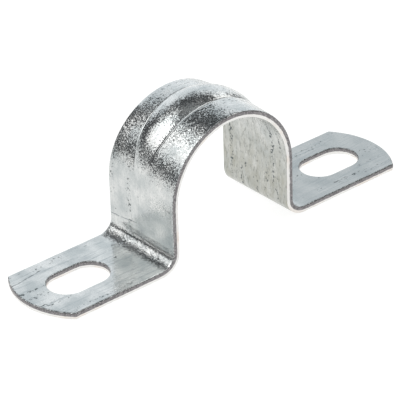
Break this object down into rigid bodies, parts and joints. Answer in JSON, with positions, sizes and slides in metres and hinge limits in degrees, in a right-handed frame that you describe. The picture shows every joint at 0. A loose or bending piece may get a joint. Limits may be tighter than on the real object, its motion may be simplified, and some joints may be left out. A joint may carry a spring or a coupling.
{
  "type": "conduit strap",
  "caption": "Folded galvanised steel conduit strap: a half-round arch with a pressed stiffening bead between flat feet with long screw slots.",
  "frame": {"origin": "on the wall plane, midway between the slots and the rounded foot ends", "axes": "+X along the strap from foot to foot, +Y along the conduit, +Z away from the wall"},
  "size_m": [0.082, 0.0176, 0.0275],
  "materials": {
    "galvanised_sheet": "bright zinc coat on cold-rolled sheet: smooth rolled faces, orange-peel grain where the arch was stretched, dull sheared edges"
  },
  "bodies": {
    "root": {"strap": "galvanised_sheet"}
  },
  "joints": []
}
